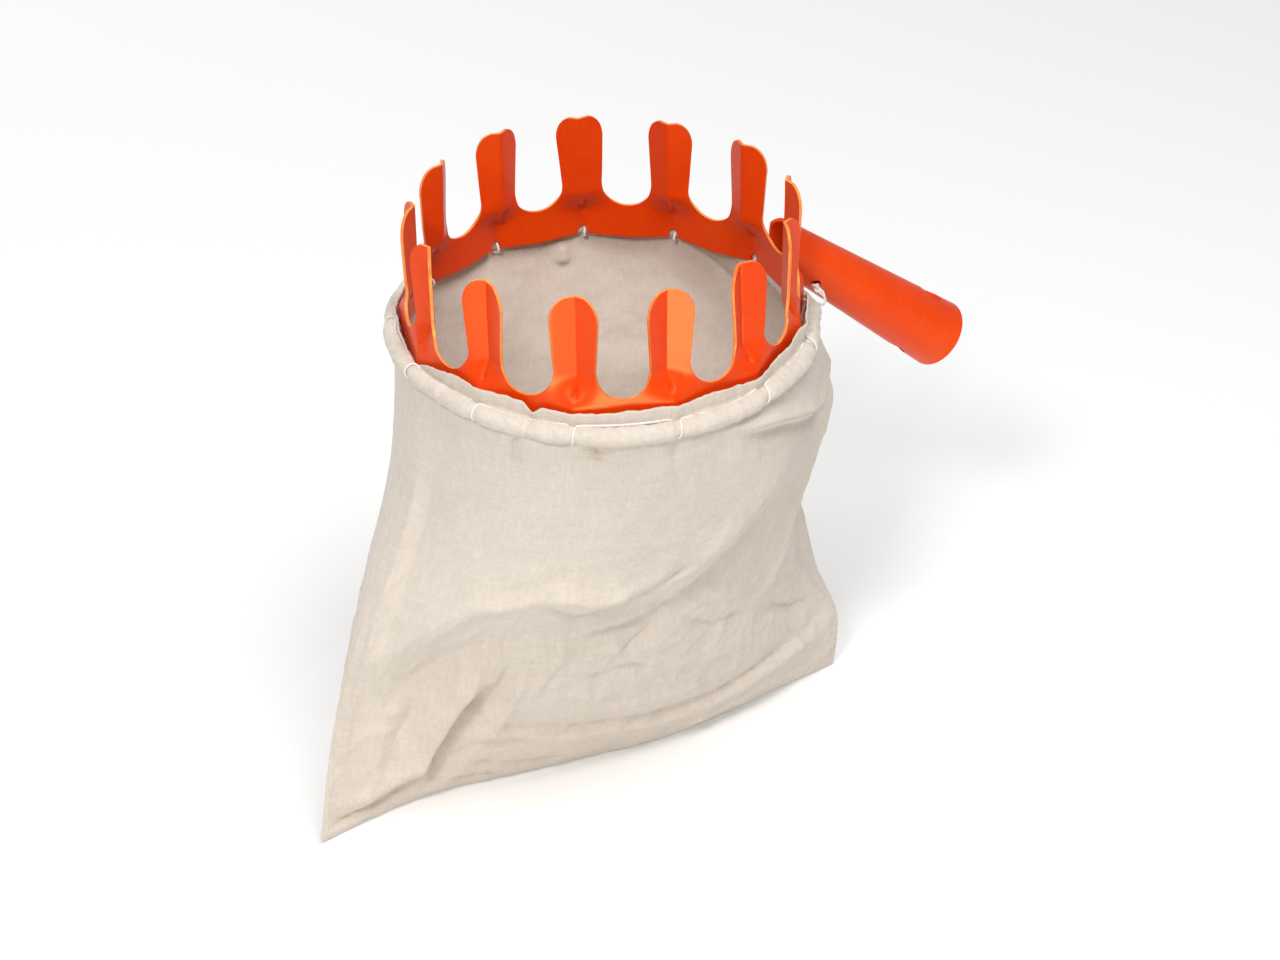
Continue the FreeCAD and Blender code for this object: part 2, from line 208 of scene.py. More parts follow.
def press_depth(sideways, level, crease_at):
    """How far the press has pushed the sheet inwards: a fold that fades out into the band."""
    from_crease = abs(sideways - crease_at)
    crease_softness = CREASE_SOFTNESS[0] + CREASE_SOFTNESS[1] * (1 - smoothstep(*CREASE_SHARPENS, level))
    from_crease = math.sqrt(from_crease ** 2 + crease_softness ** 2) - crease_softness
    inside = PRESS_HALF - from_crease
    edge_softness = EDGE_SOFTNESS[0] + EDGE_SOFTNESS[1] * (1 - smoothstep(*EDGE_SHARPENS, level))
    softened = (inside + math.sqrt(inside ** 2 + edge_softness ** 2)) / 2
    depth = PRESS_DEPTH / PRESS_HALF * softened
    across = (sideways - crease_at) / PUCKER_HALF
    along = (level - PUCKER_LEVEL) / (PUCKER_ABOVE if level > PUCKER_LEVEL else PUCKER_BELOW)
    pucker = PUCKER_DEPTH * math.exp(-across ** 2) * math.exp(-along ** 2)
    return depth * smoothstep(PRESS_START, PRESS_FULL, level) + pucker


finger_draws = random.Random(13)
finger_panels = []
for finger in range(FINGERS):
    angle = math.pi + finger * FINGER_STEP
    outward = Vector((math.cos(angle), math.sin(angle), 0))
    sideward = Vector((-math.sin(angle), math.cos(angle), 0))
    crease_at = finger_draws.uniform(-0.0006, 0.0006)
    lean_out = finger_draws.uniform(-0.0008, 0.0008)
    lean_side = finger_draws.uniform(-0.0007, 0.0007)
    tip_rise = finger_draws.uniform(-0.0004, 0.0004)

    def finger_place(across, up):
        level, half = finger_row(up)
        share = 2 * across - 1
        # columns gather at the crease and at the cut edges
        share = 0.65 * share + 0.35 * math.copysign(math.sin(abs(share) * math.pi / 2) ** 2, share)
        sideways = share * half
        sag = EDGE_SAG * abs(sideways) / HALF_FACET * max(0.0, 1 - level / SAG_HEIGHT)
        tip = smoothstep(LEAN_START, CROWN_HEIGHT, level)
        radial = CORNER_RADIUS - abs(sideways) * math.sin(FINGER_STEP / 2)
        radial += lean_out * tip - press_depth(sideways, level, crease_at)
        across_finger = sideways * math.cos(FINGER_STEP / 2) + lean_side * tip
        place = RING_CENTRE + outward * radial + sideward * across_finger
        place.z += level - sag + tip_rise * tip
        return out_of_round(place)

    panel = plain_grid(f"finger_{finger:02d}", FINGER_COLUMNS, FINGER_ROWS)
    place_vertices(panel, finger_place)
    finger_panels.append(panel)
crown = join_pieces(finger_panels, "painted_crown")
merge_and_face_out(crown, 0.00005)

# the lacing notches, cut through the lower edge at each corner
notch_cutters = []
for finger in range(FINGERS):
    angle = math.pi + finger * FINGER_STEP
    bpy.ops.object.select_all(action="DESELECT")
    bpy.ops.mesh.primitive_cylinder_add(vertices=20, radius=NOTCH_HALF, depth=0.02)
    notch_cutter = bpy.context.object
    for vertex in notch_cutter.data.vertices:
        if vertex.co.y < -0.0001:
            vertex.co.y -= 0.006
    corner = out_of_round(RING_CENTRE + Vector((math.cos(angle), math.sin(angle), 0)) * CORNER_RADIUS)
    corner.z += NOTCH_HEIGHT - NOTCH_HALF
    notch_cutter.matrix_world = (
        Matrix.Translation(corner)
        @ Matrix.Rotation(angle - math.pi / 2, 4, "Z")
        @ Matrix.Rotation(math.pi / 2, 4, "X")
    )
    notch_cutters.append(notch_cutter)
notch_cutter = join_pieces(notch_cutters, "notch_cutter")


def node(tree, kind, at=(0, 0), **settings):
    """Add a shader node, and set its properties and its inputs by name."""
    made = tree.nodes.new(kind)
    made.location = at
    for key, value in settings.items():
        if key in made.inputs:
            made.inputs[key].default_value = value
        else:
            setattr(made, key, value)
    return made


def wire(tree, source, output, target, entry):
    tree.links.new(source.outputs[output], target.inputs[entry])


def new_material(name):
    material = bpy.data.materials.new(name)
    material.use_nodes = True
    tree = material.node_tree
    return material, tree, tree.nodes["Principled BSDF"]


def group_socket(group, name, in_out, value=None):
    socket = group.interface.new_socket(name=name, in_out=in_out, socket_type="NodeSocketFloat")
    if value is not None:
        socket.default_value = value


# Shared by every finish: uneven tone in two sizes, as left by spraying, weaving or use.
mottle = bpy.data.node_groups.new("fine_mottle", "ShaderNodeTree")
group_socket(mottle, "Broad Scale", "INPUT", 40.0)
group_socket(mottle, "Fine Scale", "INPUT", 900.0)
group_socket(mottle, "Fine Share", "INPUT", 0.4)
group_socket(mottle, "Mask", "OUTPUT")
mottle_in = node(mottle, "NodeGroupInput", (-900, 0))
mottle_out = node(mottle, "NodeGroupOutput", (500, 0))
mottle_place = node(mottle, "ShaderNodeTexCoord", (-900, 300))
mottle_broad = node(mottle, "ShaderNodeTexNoise", (-500, 200), Detail=3.0, Roughness=0.55)
mottle_fine = node(mottle, "ShaderNodeTexNoise", (-500, -200), Detail=2.0, Roughness=0.6)
mottle_mix = node(mottle, "ShaderNodeMix", (100, 0), data_type="FLOAT")
wire(mottle, mottle_place, "Object", mottle_broad, "Vector")
wire(mottle, mottle_place, "Object", mottle_fine, "Vector")
wire(mottle, mottle_in, "Broad Scale", mottle_broad, "Scale")
wire(mottle, mottle_in, "Fine Scale", mottle_fine, "Scale")
wire(mottle, mottle_in, "Fine Share", mottle_mix, 0)
wire(mottle, mottle_broad, "Fac", mottle_mix, 2)
wire(mottle, mottle_fine, "Fac", mottle_mix, 3)
wire(mottle, mottle_mix, 0, mottle_out, "Mask")


def mottle_node(tree, broad, fine, share, at):
    made = node(tree, "ShaderNodeGroup", at)
    made.node_tree = mottle
    made.inputs["Broad Scale"].default_value = broad
    made.inputs["Fine Scale"].default_value = fine
    made.inputs["Fine Share"].default_value = share
    return made


def ramp_node(tree, stops, at):
    made = node(tree, "ShaderNodeValToRGB", at)
    elements = made.color_ramp.elements
    while len(elements) < len(stops):
        elements.new(0.5)
    for element, (place, colour) in zip(elements, stops):
        element.position = place
        element.color = (*colour, 1)
    return made


def orange_paint(name, deep, bright, gloss_low, gloss_high):
    """Sprayed enamel: satin gloss, slightly uneven in colour, with a faint orange peel."""
    material, tree, shader = new_material(name)
    patches = mottle_node(tree, 22.0, 380.0, 0.35, (-900, 200))
    colour = ramp_node(tree, [(0.30, deep), (0.72, bright)], (-600, 250))
    wire(tree, patches, "Mask", colour, "Fac")
    wire(tree, colour, "Color", shader, "Base Color")
    gloss = node(tree, "ShaderNodeMapRange", (-600, -50))
    gloss.inputs["To Min"].default_value = gloss_low
    gloss.inputs["To Max"].default_value = gloss_high
    wire(tree, patches, "Mask", gloss, "Value")
    wire(tree, gloss, "Result", shader, "Roughness")
    peel = mottle_node(tree, 600.0, 2400.0, 0.3, (-900, -300))
    peel_bump = node(tree, "ShaderNodeBump", (-300, -300), Strength=0.12, Distance=0.0003)
    wire(tree, peel, "Mask", peel_bump, "Height")
    wire(tree, peel_bump, "Normal", shader, "Normal")
    shader.inputs["Specular IOR Level"].default_value = 0.32
    shader.inputs["Specular Tint"].default_value = (1.0, 0.62, 0.30, 1)
    shader.inputs["Coat Weight"].default_value = 0.04
    shader.inputs["Coat Roughness"].default_value = 0.2
    return material


crown_paint = orange_paint("crown_paint", (0.77, 0.042, 0.002), (0.86, 0.072, 0.003), 0.30, 0.44)
# on cut edges the paint is thin and rubbed, and shows paler; the paler, yellower colour is also a painted
# highlight, standing in for the light that the sharp edges catch
edge_wear_and_highlight_paint = orange_paint("crown_edge_paint", (0.82, 0.12, 0.010), (0.95, 0.42, 0.12), 0.24, 0.36)
give_materials(crown, crown_paint, edge_wear_and_highlight_paint)
solidify = crown.modifiers.new("sheet", "SOLIDIFY")
solidify.thickness = CROWN_SHEET
solidify.offset = 0
# the sheet's cut rims, and below the bevels along its edges, take the paler edge paint: rubbed paint and
# painted highlight together
solidify.material_offset_rim = 1
apply_modifiers(crown)
notch_cut = crown.modifiers.new("notches", "BOOLEAN")
notch_cut.object = notch_cutter
notch_cut.operation = "DIFFERENCE"
rim = crown.modifiers.new("rim", "BEVEL")
rim.width = 0.00025
rim.segments = 2
rim.limit_method = "ANGLE"
rim.angle_limit = math.radians(58)
rim.material = 1
apply_modifiers(crown)
bpy.data.objects.remove(notch_cutter)
select_only(crown)
bpy.ops.object.shade_smooth_by_angle(angle=math.radians(30))
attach(crown, "root")
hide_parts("crown")


# --- Pole socket --------------------------------------------------------------------------------
# A tapered steel tube, coped to the crown's band and welded round its lower half. It has a hole
# through both walls near the mouth for the pole's lock, and is sprayed together with the crown.
socket_paint = orange_paint("socket_paint", (0.77, 0.042, 0.002), (0.86, 0.074, 0.003), 0.30, 0.42)
weld_paint = orange_paint("weld_paint", (0.72, 0.045, 0.002), (0.85, 0.085, 0.003), 0.34, 0.50)
for node_name, paint in (("pole_socket", socket_paint), ("socket_weld", weld_paint)):
    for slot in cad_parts[node_name].material_slots:
        slot.material = paint


# --- Hem ----------------------------------------------------------------------------------------
# The bag's mouth is rolled into a soft casing that hugs the crown's lower edge from outside. The
# raw edge stands above it as a flap against the band. Both dip to pass below the pole socket.
ROLL_RING = 0.0843
ROLL_RADIUS = 0.0036
ROLL_CLEARANCE = 0.0001
ROLL_JOINT = 223.6
# degrees round the ring from the socket, and there, in millimetres: the level of the casing's
# middle above the crown's lower edge,
ROLL_LEVELS = [(0, -6.2), (10, -5.0), (24, -0.5), (40, 1.2), (75, 0.8), (105, 1.2), (150, 3.2), (180, 4.2),
               (200, 3.8), (220, 2.9), (232, 1.6), (245, 1.0), (280, 0.8), (302, 1.8), (322, 1.8),
               (338, -0.5), (350, -5.0), (360, -6.2)]
# the radius of its middle,
ROLL_RADII = [(0, 83.2), (14, 84.2), (60, 84.3), (130, 84.3), (165, 84.0), (180, 84.1), (194, 83.0),
              (208, 84.2), (240, 84.3), (318, 84.3), (332, 83.0), (346, 84.2), (360, 83.2)]
# and the level of the flap's top edge
FLAP_TOPS = [(0, -3.5), (9, -2.0), (16, 6.0), (30, 9.5), (70, 10.0), (140, 10.5), (180, 7.5), (190, 11.5),
             (200, 13.3), (214, 12.8), (221, 11.8), (224, 8.2), (227, 10.6), (240, 9.3), (262, 10.2),
             (276, 10.6), (288, 9.2), (300, 10.8), (318, 12.5), (335, 12.0), (345, 4.0), (351, -2.0),
             (360, -3.5)]


def along_list(pairs, at):
    """Smooth value at a place along a short list of (place, value)."""
    for (low, first), (high, last) in zip(pairs, pairs[1:]):
        if at <= high:
            return first + (last - first) * smoothstep(low, high, at)
    return pairs[-1][1]


def degrees_round(angle):
    return math.degrees(angle) % 360


def ring_wobble(angle, seed, cycles):
    """Smooth closed noise round the ring, from -1 to 1."""
    return noise.noise(Vector((math.cos(angle) * cycles, math.sin(angle) * cycles, seed)))


def lace_pull(angle, half=0.0022):
    """1 at each corner, where the lacing pulls the hem tight, falling to 0 between corners."""
    turn = (angle - math.pi) / FINGER_STEP
    return math.exp(-((turn - round(turn)) * FINGER_STEP * ROLL_RING / half) ** 2)


def roll_centre(angle):
    """Radius and level of the rolled casing's middle."""
    radius = along_list(ROLL_RADII, degrees_round(angle)) / 1000
    radius += 0.0005 * ring_wobble(angle, 3.1, 2.4) - 0.0003 * lace_pull(angle)
    level = along_list(ROLL_LEVELS, degrees_round(angle)) / 1000 + 0.0005 * ring_wobble(angle, 8.7, 3.0)
    return radius, level


def ring_point(angle, radius, level):
    return RING_CENTRE + Vector((radius * math.cos(angle), radius * math.sin(angle), level))


def crown_wall(angle):
    """Radius of the band's middle surface, which has a corner at each finger."""
    turn = (angle - math.pi) / FINGER_STEP
    from_corner = abs(turn - round(turn)) * FINGER_STEP
    return FACET_RADIUS / math.cos(FINGER_STEP / 2 - from_corner)


def roll_place(across, up):
    angle = 2 * math.pi * across
    turn = 2 * math.pi * up
    radius, level = roll_centre(angle)
    creases = 0.00050 * noise.noise(Vector((angle * 22, math.cos(turn) * 0.9, math.sin(turn) * 0.9)))
    ridges = noise.noise(Vector((angle * 55, math.cos(turn) * 1.8, math.sin(turn) * 1.8 + 5)))
    creases += 0.00065 * (0.35 - abs(ridges))
    thick = ROLL_RADIUS * (1 - 0.17 * lace_pull(angle, 0.0015)) + creases
    # narrowed where the casing's two ends are sewn together
    joint = math.exp(-((degrees_round(angle) - ROLL_JOINT) * 1.5) ** 2)
    thick *= 1 - 0.22 * joint
    # never so thick that it reaches the band
    thick = min(thick, radius - crown_wall(angle) - CROWN_SHEET / 2 - ROLL_CLEARANCE)
    return out_of_round(ring_point(angle, radius + thick * math.cos(turn),
                                   level + 1.04 * thick * math.sin(turn)))


hem_roll = plain_grid("hem_roll", 720, 24)
place_vertices(hem_roll, roll_place)
merge_and_face_out(hem_roll, 0.00004)
smooth_shading(hem_roll)


def flap_place(across, up):
    angle = 2 * math.pi * across
    radius, level = roll_centre(angle)
    top = along_list(FLAP_TOPS, degrees_round(angle)) / 1000
    top += 0.0006 * ring_wobble(angle, 1.7, 9.0) + 0.00030 * ring_wobble(angle, 4.2, 34.0)
    start = level + 0.0012
    ripple = 0.0007 * ring_wobble(angle, 6.4, 9.0) + 0.00055 * ring_wobble(angle, 2.2, 30.0)
    ripple += 0.0005 * lace_pull(angle, 0.0035)
    wall = 0.35 * crown_wall(angle) + 0.65 * CORNER_RADIUS + 0.0013 + (ripple + 0.0005) * up
    radial = radius - 0.0018 + (wall - radius + 0.0018) * smoothstep(0.0, 0.4, up)
    return out_of_round(ring_point(angle, radial, start + max(0.0012, top - start) * up))


hem_flap = plain_grid("hem_flap", 600, 10)
place_vertices(hem_flap, flap_place)
merge_and_face_out(hem_flap, 0.00004)
flap_cloth = hem_flap.modifiers.new("cloth", "SOLIDIFY")
flap_cloth.thickness = 0.0006
flap_cloth.offset = 0
apply_modifiers(hem_flap)
smooth_shading(hem_flap)


# Shared by the cloths: plain weave, with slubs where the yarn is thicker.
weave = bpy.data.node_groups.new("plain_weave", "ShaderNodeTree")
group_socket(weave, "Across", "INPUT", 0.0)
group_socket(weave, "Along", "INPUT", 0.0)
group_socket(weave, "Height", "OUTPUT")
group_socket(weave, "Slub", "OUTPUT")
weave_in = node(weave, "NodeGroupInput", (-1200, 0))
weave_out = node(weave, "NodeGroupOutput", (900, 0))


def weave_math(operation, at, *sources):
    made = node(weave, "ShaderNodeMath", at, operation=operation)
    for index, source in enumerate(sources):
        if isinstance(source, (int, float)):
            made.inputs[index].default_value = source
        else:
            weave.links.new(source, made.inputs[index])
    return made.outputs[0]


def slub_noise(at, across_scale, along_scale):
    place = node(weave, "ShaderNodeCombineXYZ", (at[0] - 200, at[1]))
    weave.links.new(weave_math("MULTIPLY", (at[0] - 400, at[1] + 80), weave_in.outputs["Across"], across_scale),
                    place.inputs[0])
    weave.links.new(weave_math("MULTIPLY", (at[0] - 400, at[1] - 80), weave_in.outputs["Along"], along_scale),
                    place.inputs[1])
    made = node(weave, "ShaderNodeTexNoise", at, Scale=1.0, Detail=2.0, Roughness=0.65)
    wire(weave, place, 0, made, "Vector")
    return made.outputs["Fac"]


warp = weave_math("SINE", (-800, 200), weave_in.outputs["Across"])
weft = weave_math("SINE", (-800, -200), weave_in.outputs["Along"])
crossing = weave_math("MULTIPLY", (-500, 0), warp, weft)
warp_ridge = weave_math("ABSOLUTE", (-500, 300), warp)
weft_ridge = weave_math("ABSOLUTE", (-500, -300), weft)
ridges = weave_math("MAXIMUM", (-250, 0), warp_ridge, weft_ridge)
lifted = weave_math("MULTIPLY_ADD", (0, 0), crossing, 0.5, ridges)
warp_slubs = slub_noise((-300, -600), 0.26, 0.012)
weft_slubs = slub_noise((-300, -900), 0.010, 0.30)
weave.links.new(lifted, weave_out.inputs["Height"])
weave.links.new(weave_math("MULTIPLY", (200, -700), weave_math("ADD", (0, -700), warp_slubs, weft_slubs), 0.5),
                weave_out.inputs["Slub"])

THREAD_PITCH = 0.00062


def cotton_cloth(name, shade, light, flat_size):
    """Unbleached cotton calico; flat_size is the cloth's width and length over its UV map."""
    material, tree, shader = new_material(name)
    uv = node(tree, "ShaderNodeUVMap", (-1500, 0), uv_map="cloth")
    split = node(tree, "ShaderNodeSeparateXYZ", (-1300, 0))
    wire(tree, uv, "UV", split, 0)
    threads = node(tree, "ShaderNodeGroup", (-800, 0))
    threads.node_tree = weave
    for axis, target, length in ((0, "Across", flat_size[0]), (1, "Along", flat_size[1])):
        scaled = node(tree, "ShaderNodeMath", (-1050, 150 - 300 * axis), operation="MULTIPLY")
        scaled.inputs[1].default_value = length / THREAD_PITCH * math.pi
        wire(tree, split, axis, scaled, 0)
        wire(tree, scaled, 0, threads, target)
    patches = mottle_node(tree, 16.0, 420.0, 0.5, (-800, 350))
    tone = node(tree, "ShaderNodeMix", (-500, 250), data_type="FLOAT")
    tone.inputs[0].default_value = 0.5
    wire(tree, patches, "Mask", tone, 2)
    wire(tree, threads, "Slub", tone, 3)
    colour = ramp_node(tree, [(0.34, shade), (0.64, light)], (-250, 250))
    wire(tree, tone, 0, colour, "Fac")
    wire(tree, colour, "Color", shader, "Base Color")
    bump = node(tree, "ShaderNodeBump", (-250, -250), Strength=0.40, Distance=0.00016)
    wire(tree, threads, "Height", bump, "Height")
    slub_bump = node(tree, "ShaderNodeBump", (-60, -250), Strength=0.35, Distance=0.0003)
    wire(tree, tone, 0, slub_bump, "Height")
    wire(tree, bump, "Normal", slub_bump, "Normal")
    wire(tree, slub_bump, "Normal", shader, "Normal")
    rough = node(tree, "ShaderNodeMapRange", (-250, 0))
    rough.inputs["To Min"].default_value = 0.84
    rough.inputs["To Max"].default_value = 0.97
    wire(tree, tone, 0, rough, "Value")
    wire(tree, rough, "Result", shader, "Roughness")
    shader.inputs["Specular IOR Level"].default_value = 0.2
    shader.inputs["Sheen Weight"].default_value = 0.2
    shader.inputs["Sheen Roughness"].default_value = 0.6
    return material


CALICO_SHADE = (0.595, 0.520, 0.437)
CALICO_LIGHT = (0.75, 0.675, 0.592)
RING_LENGTH = 2 * math.pi * ROLL_RING
HEM_UV_HEIGHT = 0.03


def ring_uv(obj):
    """UV map round the ring: across runs once round, along runs up by the hem's height."""
    while obj.data.uv_layers:
        obj.data.uv_layers.remove(obj.data.uv_layers[0])
    layer = obj.data.uv_layers.new(name="cloth")
    for polygon in obj.data.polygons:
        places = [obj.data.vertices[obj.data.loops[loop].vertex_index].co - RING_CENTRE
                  for loop in polygon.loop_indices]
        turns = [(math.atan2(place.y, place.x) / (2 * math.pi)) % 1.0 for place in places]
        wraps = max(turns) - min(turns) > 0.5
        for loop, turn, place in zip(polygon.loop_indices, turns, places):
            across = turn + 1 if wraps and turn < 0.5 else turn
            layer.data[loop].uv = (across, (place.z + math.hypot(place.x, place.y)) / HEM_UV_HEIGHT)


hem_cotton = cotton_cloth("hem_cotton", CALICO_SHADE, CALICO_LIGHT, (RING_LENGTH, HEM_UV_HEIGHT))
for hem_piece in (hem_roll, hem_flap):
    ring_uv(hem_piece)
    give_materials(hem_piece, hem_cotton)
    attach(hem_piece, "root")
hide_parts("bag_hem")
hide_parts("bag_hem_flap")


# --- Bag ----------------------------------------------------------------------------------------
# Two panels of calico, sewn together down the sides and along the bottom, with the mouth sewn
# into the hem. The bag hangs with its lower edge just above the floor. Cloth simulation gives the
# slack of its lower half, and the folds are laid on the cloth after that.
WIDTH_MM, DEPTH_MM = 262, 210
BAG_WIDTH = WIDTH_MM / 1000
BAG_DEPTH = DEPTH_MM / 1000
BAG_COLUMNS = 200
BAG_ROWS = 72
BAG_CLOTH = 0.0007
BELLY = 0.011
FLOOR_LEVEL = RING_CENTRE.z - 0.2070
# millimetres from the middle of the ring at the crown's lower edge: down each side, and along
# the bottom from left to right
LEFT_SEAM = [(-91, 0, -48), (-109, 0.5, -97), (-124.5, 1, -151)]
RIGHT_SEAM = [(90, 0, -27), (92.5, 0, -49), (88, 0, -73), (86, 0.5, -97), (93, 2, -121), (100, 5, -146),
              (112, 8, -175)]
BOTTOM_SEAM = [(-133, 2, -204.5), (-102, 9, -205), (-73, 11.5, -205), (-42, 7, -205), (-10, 4, -205.3),
               (22, 1, -205.3), (55, 4, -205), (88, 10, -205), (114.5, 15, -205.8)]


def from_ring(millimetres):
    return RING_CENTRE + Vector(millimetres) / 1000


def bag_mouth(angle):
    radius, level = roll_centre(angle)
    return out_of_round(ring_point(angle, radius - 0.0010, level - 0.0027))


def through(points, share):
    """A smooth line through points that are evenly spaced along share, from 0 to 1."""
    spans = len(points) - 1
    place = min(max(share, 0.0), 1.0) * spans
    index = min(int(place), spans - 1)
    t = place - index
    before, first = points[max(index - 1, 0)], points[index]
    second, after = points[index + 1], points[min(index + 2, spans)]
    return 0.5 * (2 * first + (second - before) * t + (2 * before - 5 * first + 4 * second - after) * t * t
                  + (3 * first - before - 3 * second + after) * t ** 3)


bottom_line = [from_ring(place) for place in BOTTOM_SEAM]
left_line = [bag_mouth(math.pi)] + [from_ring(place) for place in LEFT_SEAM] + [bottom_line[0]]
right_line = [bag_mouth(0.0)] + [from_ring(place) for place in RIGHT_SEAM] + [bottom_line[-1]]

# Folds of each panel: a line of places (across, down) from the left seam and the mouth, both from
# 0 to 1, then half width and height in millimetres. Negative heights are valleys.
FOLD_STRENGTH = 2.5
FRONT_FOLDS = [
    # the broad slump across the middle, and the hollow below it
    ([(0.01, 0.66), (0.105, 0.556), (0.21, 0.45), (0.33, 0.43), (0.45, 0.45), (0.54, 0.42),
      (0.62, 0.33), (0.70, 0.23)], 11, 2.3),
    ([(0.08, 0.72), (0.2, 0.60), (0.33, 0.55), (0.48, 0.56), (0.60, 0.50), (0.70, 0.40),
      (0.77, 0.30)], 12, -2.3),
    ([(0.29, 0.415), (0.395, 0.50), (0.47, 0.455), (0.58, 0.38)], 3.6, -1.5),
    ([(0.31, 0.39), (0.40, 0.455), (0.47, 0.42)], 3.6, 1.0),
    # the deep tuck by the lower left corner
    ([(0.27, 0.64), (0.23, 0.74), (0.198, 0.83), (0.178, 0.91)], 5.0, 3.2),
    ([(0.30, 0.68), (0.25, 0.78), (0.222, 0.85), (0.205, 0.93)], 4.6, -3.6),
    ([(0.21, 0.90), (0.15, 0.925), (0.08, 0.95), (0.02, 0.965)], 3.6, -1.7),
    ([(0.19, 0.865), (0.13, 0.895), (0.06, 0.925)], 4.0, 1.6),
    # small creases between them
    ([(0.315, 0.62), (0.295, 0.76)], 2.6, -1.2),
    ([(0.335, 0.66), (0.325, 0.75), (0.30, 0.84)], 3.4, 1.3),
    ([(0.16, 0.72), (0.13, 0.80), (0.12, 0.88)], 4.0, -1.0),
    ([(0.24, 0.86), (0.30, 0.84), (0.38, 0.86)], 3.0, -1.0),
    ([(0.40, 0.60), (0.37, 0.66), (0.36, 0.72)], 3.0, 0.9),
    ([(0.60, 0.60), (0.66, 0.66), (0.74, 0.68)], 3.4, -1.0),
    ([(0.58, 0.72), (0.66, 0.76), (0.76, 0.77)], 3.4, 0.9),
    ([(0.12, 0.58), (0.21, 0.47), (0.30, 0.425), (0.40, 0.42)], 3.0, 0.8),
    ([(0.34, 0.60), (0.42, 0.63), (0.50, 0.62)], 2.8, 0.8),
    ([(0.46, 0.80), (0.56, 0.83), (0.68, 0.84)], 2.8, 0.8),
    ([(0.62, 0.52), (0.68, 0.58), (0.78, 0.60)], 3.0, 0.8),
    ([(0.80, 0.72), (0.87, 0.78), (0.93, 0.80)], 3.2, -1.2),
    ([(0.90, 0.66), (0.93, 0.74), (0.97, 0.82)], 3.2, 1.2),
    ([(0.40, 0.575), (0.45, 0.53), (0.54, 0.52)], 2.8, 1.2),
    ([(0.54, 0.57), (0.49, 0.64)], 2.8, -1.1),
    ([(0.43, 0.69), (0.52, 0.69), (0.57, 0.725)], 2.8, -1.1),
    ([(0.36, 0.72), (0.45, 0.75), (0.52, 0.78)], 3.2, 0.8),
    ([(0.27, 0.89), (0.36, 0.935), (0.45, 0.95)], 2.6, -1.0),
    ([(0.25, 0.94), (0.34, 0.965)], 2.4, -0.8),
    ([(0.62, 0.955), (0.75, 0.945), (0.88, 0.935)], 2.6, 0.8),
    # the line above the bottom seam, where the cloth turns under
    ([(0.22, 0.79), (0.40, 0.865), (0.58, 0.905), (0.70, 0.915), (0.84, 0.895), (0.98, 0.87)], 3.0, 1.3),
    ([(0.24, 0.77), (0.42, 0.84), (0.58, 0.88), (0.70, 0.89), (0.84, 0.87), (0.96, 0.84)], 4.0, -1.2),
    # the right side, folded along its length and pushed out below the hem
    ([(0.89, 0.10), (0.90, 0.25), (0.885, 0.42), (0.82, 0.58), (0.75, 0.70)], 8.0, 2.0),
    ([(0.96, 0.20), (0.965, 0.40), (0.93, 0.60), (0.90, 0.75)], 6.0, -1.4),
    ([(0.54, 0.035), (0.64, 0.085), (0.78, 0.165), (0.93, 0.12)], 4.2, 1.9),
    ([(0.56, 0.075), (0.66, 0.125), (0.79, 0.205), (0.94, 0.17)], 3.6, -1.3),
    # below the hem
    ([(0.222, 0.02), (0.224, 0.11)], 2.0, -1.6),
    ([(0.335, 0.01), (0.35, 0.07)], 4.0, -1.8),
    ([(0.46, 0.01), (0.455, 0.08)], 2.6, -0.9),
    # beside the left seam
    ([(0.035, 0.12), (0.042, 0.4), (0.036, 0.7), (0.03, 0.9)], 3.0, 1.0),
    ([(0.075, 0.15), (0.08, 0.4), (0.07, 0.6)], 5.0, -0.8),
]
BACK_FOLDS = [
    ([(0.03, 0.60), (0.18, 0.52), (0.36, 0.44), (0.55, 0.47), (0.72, 0.40), (0.90, 0.42)], 13, 3.0),
    ([(0.06, 0.72), (0.22, 0.64), (0.40, 0.57), (0.58, 0.60), (0.75, 0.55), (0.92, 0.56)], 13, -3.2),
    ([(0.20, 0.30), (0.32, 0.38), (0.40, 0.49)], 4.0, 1.4),
    ([(0.62, 0.62), (0.70, 0.74), (0.73, 0.88)], 4.6, 2.6),
    ([(0.67, 0.60), (0.75, 0.73), (0.78, 0.88)], 4.4, -2.8),
    ([(0.35, 0.66), (0.30, 0.78), (0.22, 0.90)], 4.0, 1.8),
    ([(0.39, 0.68), (0.345, 0.80), (0.27, 0.92)], 3.6, -1.8),
    ([(0.44, 0.78), (0.55, 0.82), (0.60, 0.90)], 3.0, -1.1),
    ([(0.10, 0.86), (0.30, 0.90), (0.55, 0.91), (0.80, 0.90), (0.95, 0.88)], 3.0, 1.1),
    ([(0.80, 0.03), (0.88, 0.15), (0.90, 0.32)], 5.0, 2.2),
    ([(0.30, 0.01), (0.31, 0.10)], 2.4, -1.3),
    ([(0.58, 0.01), (0.57, 0.09)], 2.6, -1.2),
]


def near_line(points, u, v):
    """Distance in millimetres from a fold's line, and how far along it the nearest place is."""
    best, best_along, done = 1e9, 0.0, 0.0
    lengths = [math.hypot((b[0] - a[0]) * WIDTH_MM, (b[1] - a[1]) * DEPTH_MM)
               for a, b in zip(points, points[1:])]
    whole = sum(lengths)
    for (a, b), length in zip(zip(points, points[1:]), lengths):
        ax, ay = (u - a[0]) * WIDTH_MM, (v - a[1]) * DEPTH_MM
        bx, by = (b[0] - a[0]) * WIDTH_MM, (b[1] - a[1]) * DEPTH_MM
        t = min(1.0, max(0.0, (ax * bx + ay * by) / (length * length)))
        distance = math.hypot(ax - t * bx, ay - t * by)
        if distance < best:
            best, best_along = distance, (done + t * length) / whole
        done += length
    return best, best_along


